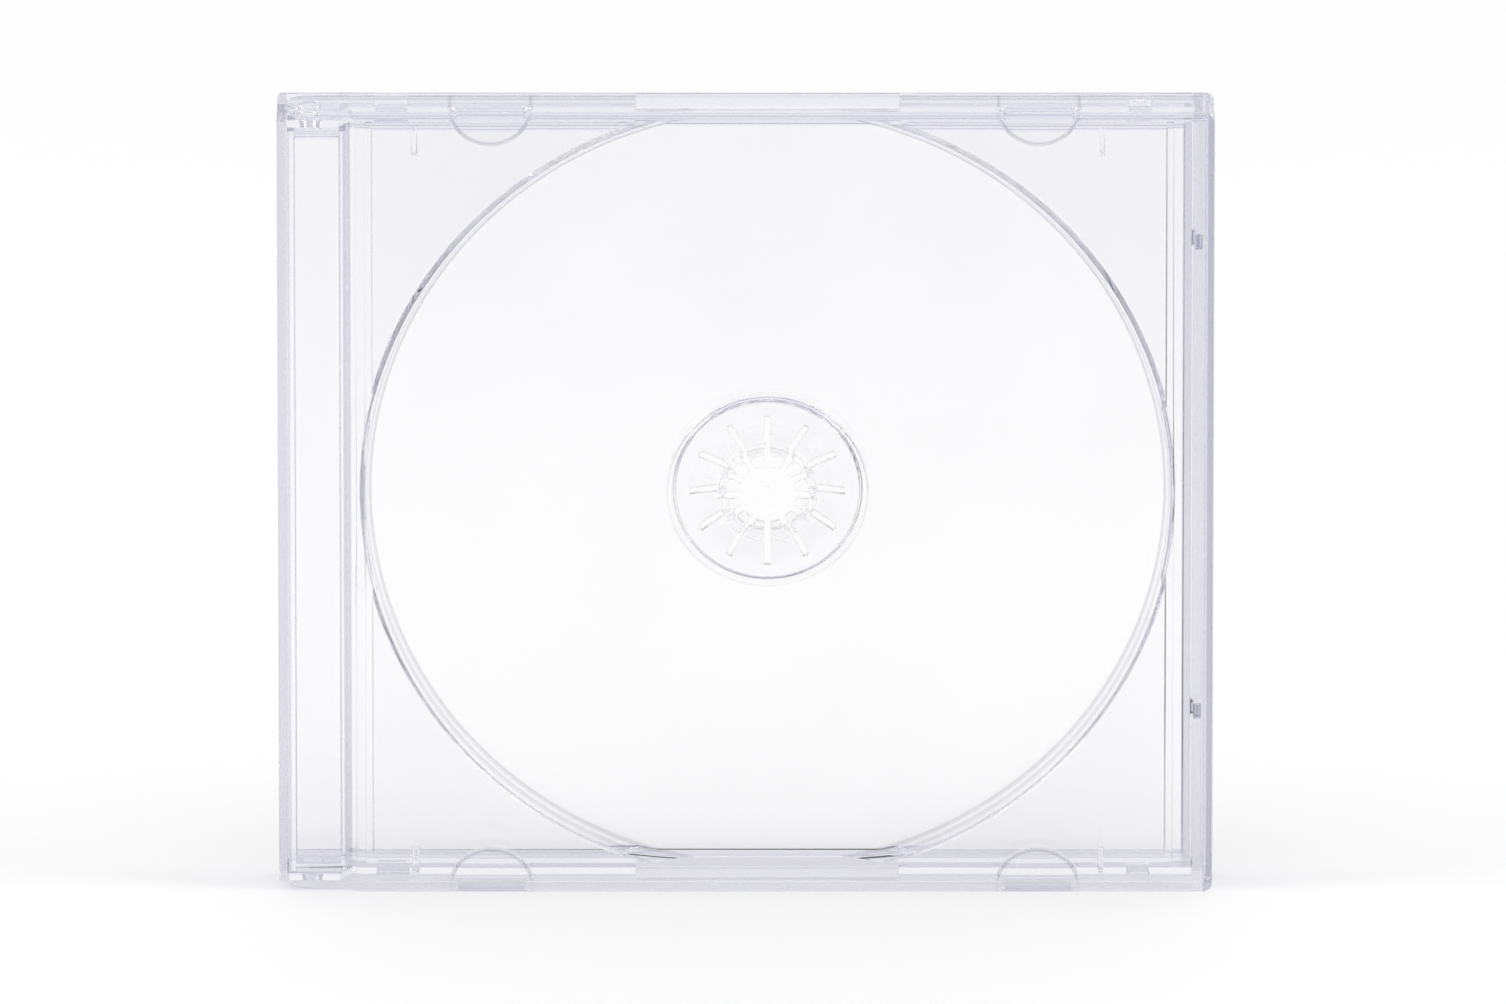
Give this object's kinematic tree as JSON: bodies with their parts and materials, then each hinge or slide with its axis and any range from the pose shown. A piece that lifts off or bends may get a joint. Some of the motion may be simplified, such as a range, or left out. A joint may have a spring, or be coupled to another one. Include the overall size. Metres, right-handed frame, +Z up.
{
  "type": "cd jewel case",
  "caption": "Clear plastic hinged case for one disc: a back with a spine, a snap-in tray with a sprung finger hub, and a lid with booklet holders.",
  "frame": {"origin": "middle of the long lower edge that the case stands on, half way through its thickness", "axes": "+Z up along the short sides, +X from the spine to the opening edge, -Y out of the lid's face"},
  "size_m": [0.142, 0.0102, 0.1245],
  "materials": {
    "clear_back": "clear injection-moulded polystyrene, polished",
    "clear_tray": "clear injection-moulded polystyrene, polished",
    "clear_lid": "clear injection-moulded polystyrene, polished"
  },
  "bodies": {
    "back": {"base": "clear_back", "disc_tray": "clear_tray"},
    "cover": {"lid": "clear_lid"}
  },
  "joints": [
    {"name": "lid_hinge", "type": "hinge", "parent": "back", "child": "cover", "pos_m": [-0.066, 0, 0.06225], "axis": [0, 0, -1], "range_deg": [0, 180]}
  ]
}
